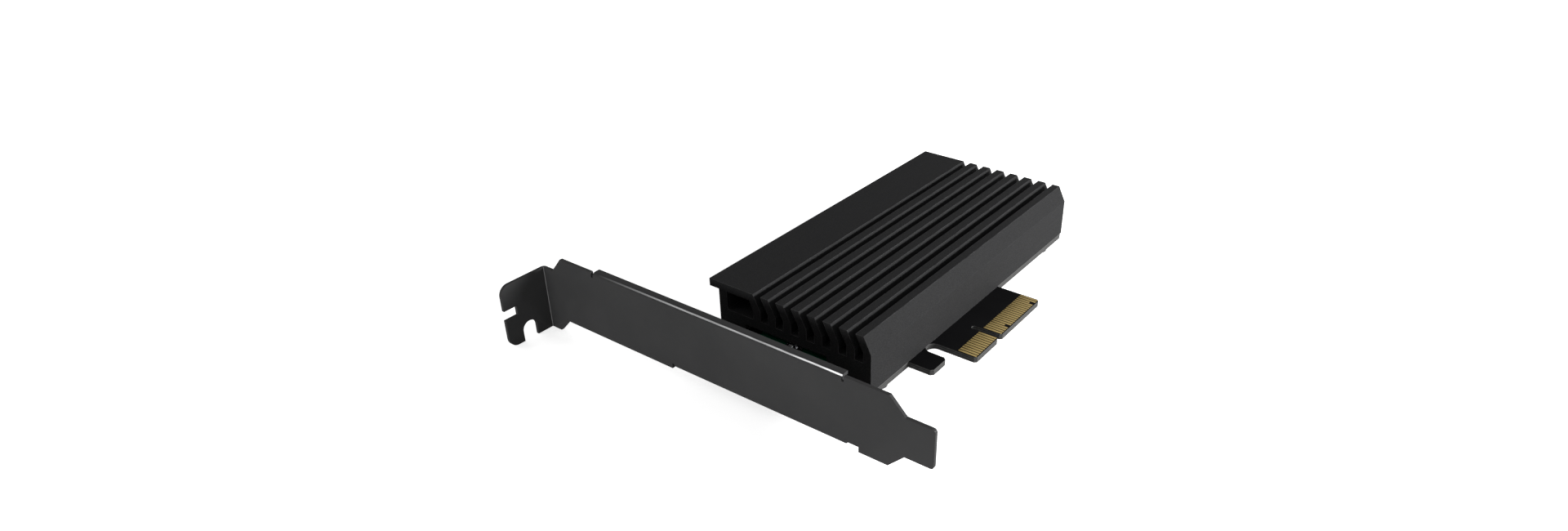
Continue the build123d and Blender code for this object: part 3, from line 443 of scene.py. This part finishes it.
def on_face(tree):
    """1 where the surface points up or down and 0 where it points sideways: whether the size of its
    direction's Z is over a half."""
    surface = tree.nodes.new("ShaderNodeNewGeometry")
    parts = tree.nodes.new("ShaderNodeSeparateXYZ")
    upright = tree.nodes.new("ShaderNodeMath")
    upright.operation = "ABSOLUTE"
    face = tree.nodes.new("ShaderNodeMath")
    face.operation = "GREATER_THAN"
    face.inputs[1].default_value = UPRIGHT_SHARE
    tree.links.new(surface.outputs["Normal"], parts.inputs["Vector"])
    tree.links.new(parts.outputs["Z"], upright.inputs[0])
    tree.links.new(upright.outputs["Value"], face.inputs[0])
    return face.outputs["Value"]


def layer_lines(tree, top_mm, thick_mm, layers, pale, dark):
    """Lines in the cut edge: the cosine of an angle that turns once for each layer of the depth."""
    angle = ramp_between(tree, own_coordinate(tree, "Z"), (top_mm - thick_mm) * MM, top_mm * MM,
                         0.0, layers * 2 * math.pi)
    wave = tree.nodes.new("ShaderNodeMath")
    wave.operation = "COSINE"
    tree.links.new(angle, wave.inputs[0])
    return two_tones(tree, wave.outputs["Value"], pale, dark, LINE_FROM, LINE_TO)


def laminate(name, lacquer_low, lacquer_high, edge_pale, edge_dark, top_mm, thick_mm, layers):
    """Board finish: lacquer on the faces, layered laminate on the edges."""
    material = finish(name, lacquer_low, 0.36, gloss=0.006)
    tree = material.node_tree
    weave = grain(material, 900, detail=2)
    lacquer = shade(material, grain(material, 60, detail=3), lacquer_low, lacquer_high)
    choose = tree.nodes.new("ShaderNodeMix")
    choose.data_type = "RGBA"
    tree.links.new(on_face(tree), choose.inputs["Factor"])
    tree.links.new(layer_lines(tree, top_mm, thick_mm, layers, edge_pale, edge_dark), choose.inputs["A"])
    tree.links.new(lacquer, choose.inputs["B"])
    feed(material, choose.outputs["Result"], "Base Color")
    relief(material, weave, 0.012, 0.25)
    return material


# %% Black board and green board
black_board = laminate(
    "black_board", lacquer_low=(0.005, 0.005, 0.0053), lacquer_high=(0.0072, 0.0072, 0.0076),
    edge_pale=(0.062, 0.062, 0.061), edge_dark=(0.022, 0.022, 0.022), top_mm=0.0, thick_mm=1.6, layers=3)
green_board = laminate(
    "green_board", lacquer_low=(0.001, 0.1, 0.045), lacquer_high=(0.002, 0.14, 0.065),
    edge_pale=(0.008, 0.2, 0.08), edge_dark=(0.005, 0.13, 0.055), top_mm=2.3, thick_mm=0.8, layers=2)
wear(black_board, "circuit_board")
wear(green_board, "drive_board")

# %% [markdown]
# ## Gold, tin and brass
#
# Contacts are plated with hard gold, which is smooth but shows fine rubbing marks along the way the
# card is pushed in. The rings round the screw holes are soft gold, a little duller. The wide strip
# under the drive is plated more thinly over etched copper, so it is duller and browner still. Tinned
# ends are paler, with a faint crystal pattern, and the turned brass of the spacer shows its rings.

# %% Gold
contact_gold = finish("contact_gold", (0.42, 0.305, 0.11), 0.3, metallic=1.0)
rub_marks = grain(contact_gold, 5000, stretch=(1, 0.05, 1), detail=3)
shade(contact_gold, rub_marks, (0.35, 0.25, 0.09), (0.46, 0.345, 0.135))
sheen(contact_gold, rub_marks, 0.22, 0.4)
relief(contact_gold, rub_marks, 0.006, 0.3)
wear(contact_gold, "edge_contacts_top", "edge_contacts_bottom")

ring_gold = finish("ring_gold", (0.24, 0.17, 0.05), 0.36, metallic=1.0)
ring_cloud = grain(ring_gold, 1800, detail=3)
shade(ring_gold, ring_cloud, (0.2, 0.14, 0.04), (0.29, 0.21, 0.065))
sheen(ring_gold, ring_cloud, 0.3, 0.44)
relief(ring_gold, ring_cloud, 0.006, 0.3)
wear(ring_gold, "slot_rings", "bracket_hole_rings", "drive_contacts")

strip_gold = finish("strip_gold", (0.16, 0.105, 0.022), 0.4, metallic=1.0)
etch_grain = grain(strip_gold, 3200, detail=4)
strip_cloud = grain(strip_gold, 28, detail=2)
shade(strip_gold, strip_cloud, (0.14, 0.092, 0.018), (0.19, 0.125, 0.028))
sheen(strip_gold, etch_grain, 0.36, 0.5)
relief(strip_gold, etch_grain, 0.008, 0.3, rounding_mm=0.2)
wear(strip_gold, "cooling_strip")

# %% Tin and brass
tinned = finish("tinned", (0.74, 0.74, 0.72), 0.4, metallic=1.0)
tin_crystals = grain(tinned, 2600, detail=3)
shade(tinned, tin_crystals, (0.66, 0.66, 0.64), (0.8, 0.8, 0.78))
sheen(tinned, tin_crystals, 0.32, 0.48)
relief(tinned, tin_crystals, 0.01, 0.35)
wear(tinned, "capacitor_ends", "drive_small_ends", "drive_power_leads", "socket_hold_downs",
     "socket_front_contacts", "socket_rear_contacts")

spacer_brass = finish("spacer_brass", (0.55, 0.42, 0.2), 0.3, metallic=1.0)
turning_rings = grain(spacer_brass, 2400, stretch=(0.1, 0.1, 3), detail=2)
shade(spacer_brass, turning_rings, (0.48, 0.36, 0.16), (0.6, 0.47, 0.24))
sheen(spacer_brass, turning_rings, 0.24, 0.4)
wear(spacer_brass, "drive_standoff")

# %% [markdown]
# ## Screws
#
# The bracket screws and the drive's small screw are zinc-plated steel, pale with a slight warm and
# cold mottling. The heatsink screws are blackened. Blackening is a thin layer, so the edges of the
# heads and of the cross recess catch the light.

# %% Plated and blackened steel
zinc_steel = finish("zinc_steel", (0.5, 0.5, 0.5), 0.3, metallic=1.0)
zinc_mottle = grain(zinc_steel, 900, detail=4)
shade(zinc_steel, zinc_mottle, (0.42, 0.43, 0.45), (0.58, 0.57, 0.54))
sheen(zinc_steel, zinc_mottle, 0.24, 0.42)
relief(zinc_steel, zinc_mottle, 0.01, 0.2, rounding_mm=0.08)
wear(zinc_steel, "bracket_screws", "drive_screw")

black_steel = finish("black_steel", (0.03, 0.03, 0.032), 0.36, metallic=0.6)
black_mottle = grain(black_steel, 1400, detail=3)
shade(black_steel, black_mottle, (0.02, 0.02, 0.022), (0.045, 0.045, 0.048))
sheen(black_steel, black_mottle, 0.28, 0.44)
relief(black_steel, black_mottle, 0.01, 0.25, rounding_mm=0.08)
wear(black_steel, "heatsink_screws")

# %% [markdown]
# ## Moulded plastic, resin and ceramic
#
# Chips are moulded in black resin with a matte, finely eroded skin; the socket is a glass-filled
# plastic, a little smoother. The capacitors are fired ceramic, brown and speckled, and the drive's
# small parts are darker.

# %% Chips and socket
chip_resin = finish("chip_resin", (0.014, 0.014, 0.0145), 0.55, gloss=0.04)
eroded_skin = grain(chip_resin, 6000, detail=4)
shade(chip_resin, eroded_skin, (0.01, 0.01, 0.0105), (0.019, 0.019, 0.02))
sheen(chip_resin, eroded_skin, 0.48, 0.64)
relief(chip_resin, eroded_skin, 0.015, 0.5, rounding_mm=0.06)
wear(chip_resin, "drive_memory_chips", "drive_controller_chip", "drive_power_chip", "drive_power_switch")

socket_plastic = finish("socket_plastic", (0.011, 0.011, 0.011), 0.4, gloss=0.04)
flow_grain = grain(socket_plastic, 1500, stretch=(1, 0.2, 1), detail=3)
shade(socket_plastic, flow_grain, (0.009, 0.009, 0.009), (0.014, 0.014, 0.014))
sheen(socket_plastic, flow_grain, 0.34, 0.5)
relief(socket_plastic, flow_grain, 0.01, 0.3, rounding_mm=0.05)
wear(socket_plastic, "socket_housing")

# %% Ceramic
brown_ceramic = finish("brown_ceramic", (0.1, 0.062, 0.012), 0.45, gloss=0.1)
fired_speckle = grain(brown_ceramic, 4200, detail=4)
shade(brown_ceramic, fired_speckle, (0.075, 0.046, 0.008), (0.125, 0.078, 0.017))
sheen(brown_ceramic, fired_speckle, 0.38, 0.55)
relief(brown_ceramic, fired_speckle, 0.01, 0.3)
wear(brown_ceramic, "capacitor_bodies")

dark_ceramic = finish("dark_ceramic", (0.06, 0.045, 0.025), 0.5, gloss=0.1)
dark_speckle = grain(dark_ceramic, 4600, detail=4)
shade(dark_ceramic, dark_speckle, (0.035, 0.03, 0.022), (0.1, 0.08, 0.05))
sheen(dark_ceramic, dark_speckle, 0.4, 0.58)
relief(dark_ceramic, dark_speckle, 0.01, 0.3)
wear(dark_ceramic, "drive_small_parts")

# %% [markdown]
# ## Surfaces worked out as arrays
#
# The pieces from here on have no drawing in the frame, or only a plain block. Each is a stack of
# rings: a closed outline, repeated up a profile. Two numbers say where a point is, its place round
# the outline and its place up the profile, and numpy works out all points at once. Modelling by hand
# would also do, but a formula can be read, changed and repeated.

# %% From rings to a piece
MERGE_WITHIN = 0.0005       # mm
SHARP_ANGLE = 40            # degrees


def ring_quads(rings, points, looped):
    """Four-sided faces between each ring and the next; looped also joins the last ring to the first."""
    ring = np.arange(rings if looped else rings - 1)[:, None]
    point = np.arange(points)[None, :]
    here, there = ring * points, (ring + 1) % rings * points
    after = (point + 1) % points
    return np.stack([here + point, here + after, there + after, there + point], axis=-1).reshape(-1, 4)


def ringed_piece(name, shells, coating, looped=False):
    """One piece from an array of shells by rings by points by three, in millimetres; doubles are merged."""
    count, rings, points = shells.shape[:3]
    quads = ring_quads(rings, points, looped)
    quads = (quads[None] + np.arange(count)[:, None, None] * rings * points).reshape(-1, 4)
    mesh = bpy.data.meshes.new(name)
    mesh.from_pydata((shells.reshape(-1, 3) * MM).tolist(), [], quads.tolist())
    surface = bmesh.new()
    surface.from_mesh(mesh)
    bmesh.ops.remove_doubles(surface, verts=surface.verts, dist=MERGE_WITHIN * MM)
    bmesh.ops.recalc_face_normals(surface, faces=surface.faces)
    open_edges = sum(not edge.is_manifold for edge in surface.edges)
    surface.to_mesh(mesh)
    surface.free()
    mesh.shade_smooth()
    mesh.set_sharp_from_angle(angle=math.radians(SHARP_ANGLE))
    mesh.materials.append(coating)
    piece = bpy.data.objects.new(name, mesh)
    bpy.context.collection.objects.link(piece)
    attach(piece, "root")
    print(name, "has", len(mesh.polygons), "faces and", open_edges, "open edges")
    return piece


# %% Rounded outline
def rounded_outline(low, high, radius, arc_steps, long_steps, short_steps):
    """A rounded rectangle as rows of x, y and the outward direction there.
    Four quarter circles turn evenly from one side to the next, and straight runs of even steps join them."""
    (x0, y0), (x1, y1) = low, high
    quarter = np.linspace(0, math.pi / 2, arc_steps)
    arcs = []
    for k, (x, y) in enumerate(((x1, y1), (x0, y1), (x0, y0), (x1, y0))):
        turn = quarter + k * math.pi / 2
        centre_x = x - math.copysign(radius, x - x0 - radius)
        centre_y = y - math.copysign(radius, y - y0 - radius)
        arcs.append(np.stack([centre_x + radius * np.cos(turn), centre_y + radius * np.sin(turn),
                              np.cos(turn), np.sin(turn)], axis=-1))
    rows = []
    for k, steps in enumerate((long_steps, short_steps, long_steps, short_steps)):
        share = np.linspace(0, 1, steps + 1)[1:-1, None]
        rows += [arcs[k], arcs[k][-1] + (arcs[(k + 1) % 4][0] - arcs[k][-1]) * share]
    return np.vstack(rows)


# %% [markdown]
# ## Soft thermal pads
#
# A thermal pad is silicone rubber filled with grey mineral powder, cut from a sheet. It carries heat
# from the strip to the drive, and from the chips to the heatsink. Squeezed, it lies flat on both
# faces and its cut sides bulge unevenly. A cloth simulation would swell the whole pad, which a thin
# dense sheet doesn't do, so the bulge is worked out instead, and it ends where the frame's block ends.

# %% Pad rubber
pad_silicone = finish("pad_silicone", (0.38, 0.38, 0.38), 0.8, gloss=0.15)
filler_grain = grain(pad_silicone, 5200, detail=4)
shade(pad_silicone, filler_grain, (0.34, 0.34, 0.34), (0.42, 0.42, 0.42))
sheen(pad_silicone, filler_grain, 0.72, 0.88)
relief(pad_silicone, filler_grain, 0.015, 0.3)

# %% Pad shape
PAD_CORNER = 0.3
PAD_BULGE = 0.16
BULGE_POWER = 2.5
PAD_UNEVEN = 0.35
SIDE_WAVES = ((0.6, 0.25, 0.4), (0.4, 0.7, -0.3))   # height, then radians per mm along X and Y
SIDE_RINGS = 11
ARC_STEPS, LONG_STEPS, SHORT_STEPS = 5, 60, 16
FLAT_INSETS = (0.8, 2.0, 5.0)


def pad_shell(node):
    """A squeezed pad that fills a node's box.
    At height share h, the side is drawn in from the outline by the bulge times |2h - 1| to a power,
    times one plus a slow wave along the side. The flat faces are the outline clipped to ever smaller
    rectangles, the last of them a line."""
    low, high = (np.array(corner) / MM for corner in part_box(node))
    outline = rounded_outline(low[:2], high[:2], PAD_CORNER, ARC_STEPS, LONG_STEPS, SHORT_STEPS)
    place, outward = outline[:, :2], outline[:, 2:]
    wave = sum(height * np.sin(along_x * place[:, 0] + along_y * place[:, 1])
               for height, along_x, along_y in SIDE_WAVES)
    share = (1 - np.cos(np.linspace(0, math.pi, SIDE_RINGS))) / 2
    drawn_in = PAD_BULGE * np.abs(2 * share - 1) ** BULGE_POWER
    inset = drawn_in[:, None] * (1 + PAD_UNEVEN * wave)
    side = place - inset[..., None] * outward
    half = (high[1] - low[1]) / 2
    flats = np.array((half,) + FLAT_INSETS[::-1])[:, None, None]
    flat = np.clip(place, low[:2] + flats, high[:2] - flats)
    plan = np.concatenate([flat, side, flat[::-1]])
    rise = np.concatenate([np.zeros(len(flats)), share, np.ones(len(flats))])
    z = low[2] + (high[2] - low[2]) * rise
    return np.concatenate([plan, np.broadcast_to(z[:, None, None], plan.shape[:2] + (1,))], axis=-1)


# %% Two pads
for name, node in (("thermal_pad_lower", "lower_thermal_pad"), ("thermal_pad_upper", "upper_thermal_pad")):
    pad = ringed_piece(name, pad_shell(node)[None], pad_silicone)
    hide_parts(node)

# %% [markdown]
# ## Solder
#
# Parts are held to the board by solder that climbs their metal ends while it is molten and sets as a
# concave collar. Without it every part looks as if it were only laid down. One collar is a loop of
# rings round a rectangular foot, and numpy copies it to every foot in one step.

# %% Solder metal
solder_tin = finish("solder_tin", (0.6, 0.6, 0.58), 0.24, metallic=1.0)
cooling_ripple = grain(solder_tin, 2200, detail=3)
shade(solder_tin, cooling_ripple, (0.5, 0.5, 0.49), (0.68, 0.68, 0.66))
sheen(solder_tin, cooling_ripple, 0.18, 0.34)
relief(solder_tin, cooling_ripple, 0.012, 0.35)

# %% Collars of solder
COLLAR_SINK = 0.02
CORNER_POINTS = 4
CLIMB_SHARES = (0, 0.2, 0.45, 0.72, 1)


def collars(feet, half_x, half_y, climb, spread):
    """Collars round feet of one size, given as rows of x, y and z.
    At height share h the solder stands off the foot by the spread times (1 - h) squared, which is
    concave. The last ring lies inside the foot, so the loop closes there unseen."""
    quarter = np.linspace(0, math.pi / 2, CORNER_POINTS)
    turn = (np.arange(4)[:, None] * math.pi / 2 + quarter).ravel()
    side_x = np.repeat((1, -1, -1, 1), quarter.size) * half_x
    side_y = np.repeat((1, 1, -1, -1), quarter.size) * half_y
    share = np.array(CLIMB_SHARES)
    off = np.append(spread * (1 - share) ** 2, -COLLAR_SINK)[:, None]
    height = np.append(share * climb, 0)[:, None] * np.ones_like(turn)
    collar = np.stack([side_x + off * np.cos(turn), side_y + off * np.sin(turn), height], axis=-1)
    return np.asarray(feet, float)[:, None, None, :] + collar


def feet_at(x, y, z=0.0):
    """Rows of x, y and z for every pairing of the given x and y."""
    grid = np.stack(np.meshgrid(np.atleast_1d(x), np.atleast_1d(y), indexing="ij"), axis=-1).reshape(-1, 2)
    return np.column_stack([grid, np.full(len(grid), z)])


# %% Solder of the capacitors
CAPACITOR_ROWS = ((83.1, 23.55), (89.6, 18.55))     # X of a row's first capacitor, and the row's Y
CAPACITORS_IN_ROW = 5
CAPACITOR_STEP = 2.4
CAPACITOR_END = 0.775       # from a capacitor's middle to the middle of its metal end

row_steps = CAPACITOR_STEP * np.arange(CAPACITORS_IN_ROW)
capacitor_feet = np.vstack([feet_at(first_x + row_steps, (row_y - CAPACITOR_END, row_y + CAPACITOR_END))
                            for first_x, row_y in CAPACITOR_ROWS])
capacitor_collars = collars(capacitor_feet, half_x=0.6, half_y=0.225, climb=0.4, spread=0.12)
ringed_piece("capacitor_solder", capacitor_collars, solder_tin, looped=True)

# %% Solder of the socket
DRIVE_MIDDLE = 36.35        # Y of the drive's long middle line
HOLD_DOWN_X = 96.6
HOLD_DOWN_REACH = 11.6      # from the middle line to each hold-down tab
LEAD_PITCH = 0.5
FRONT_LEADS_X, FRONT_LEADS, FIRST_FRONT = 91.65, 37, 9.0    # X, how many, and the first one's reach
REAR_LEADS_X, REAR_LEADS, FIRST_REAR = 99.76, 38, 9.25
KEY_Y = 30.225
KEY_CLEARANCE = 0.85        # leads nearer than this to the drive's key are left out


def lead_feet(x, count, first):
    """Feet of one row of leads, without those at the key."""
    y = DRIVE_MIDDLE + first - LEAD_PITCH * np.arange(count)
    return feet_at(x, y[np.abs(y - KEY_Y) > KEY_CLEARANCE])


hold_feet = feet_at(HOLD_DOWN_X, (DRIVE_MIDDLE - HOLD_DOWN_REACH, DRIVE_MIDDLE + HOLD_DOWN_REACH))
hold_collars = collars(hold_feet, half_x=1.1, half_y=0.8, climb=0.2, spread=0.22)
ringed_piece("hold_down_solder", hold_collars, solder_tin, looped=True)

pin_feet = np.vstack([lead_feet(FRONT_LEADS_X, FRONT_LEADS, FIRST_FRONT),
                      lead_feet(REAR_LEADS_X, REAR_LEADS, FIRST_REAR)])
pin_collars = collars(pin_feet, half_x=0.45, half_y=0.13, climb=0.1, spread=0.08)
ringed_piece("socket_pin_solder", pin_collars, solder_tin, looped=True)

# %% [markdown]
# ## Screw threads
#
# The frame's screws have smooth shanks, because a real thread would make the solids heavy. Where a
# shank can be seen, a thin skin with a ridge that winds round it gives the thread back. The ridge is
# a triangle wave of height and angle together: going once round moves it one pitch along.

# %% Threaded skins
THREAD_ROUND = 36           # points in one ring
THREAD_RINGS = 9            # rings in one pitch
BRACKET_SCREW_X = 7.2
BRACKET_SCREW_YS = (11.55, 55.95)
DRIVE_SCREW_X = 17.9


def thread_skin(x, y, top, bottom, pitch, root, crest):
    """A closed skin round a shank, from the top down.
    Its radius is the root, plus the ridge's height times a triangle wave of height over pitch less
    turn over a circle."""
    rings = int(round((top - bottom) / pitch * THREAD_RINGS)) + 1
    z = np.linspace(top, bottom, rings)[:, None]
    turn = np.arange(THREAD_ROUND) * 2 * math.pi / THREAD_ROUND
    phase = (z / pitch - turn / (2 * math.pi)) % 1
    radius = root + (crest - root) * (1 - np.abs(2 * phase - 1))
    radius = np.vstack([np.zeros_like(turn), radius, np.zeros_like(turn)])
    height = np.vstack([z[:1], z, z[-1:]]) * np.ones_like(turn)
    return np.stack([x + radius * np.cos(turn), y + radius * np.sin(turn), height], axis=-1)


tips = np.stack([thread_skin(BRACKET_SCREW_X, y, top=-2.53, bottom=-3.47, pitch=0.5, root=1.46, crest=1.56)
                 for y in BRACKET_SCREW_YS])
ringed_piece("bracket_screw_threads", tips, zinc_steel)
shank = thread_skin(DRIVE_SCREW_X, DRIVE_MIDDLE, top=1.48, bottom=-0.71, pitch=0.4, root=1.005, crest=1.045)
ringed_piece("drive_screw_thread", shank[None], zinc_steel)
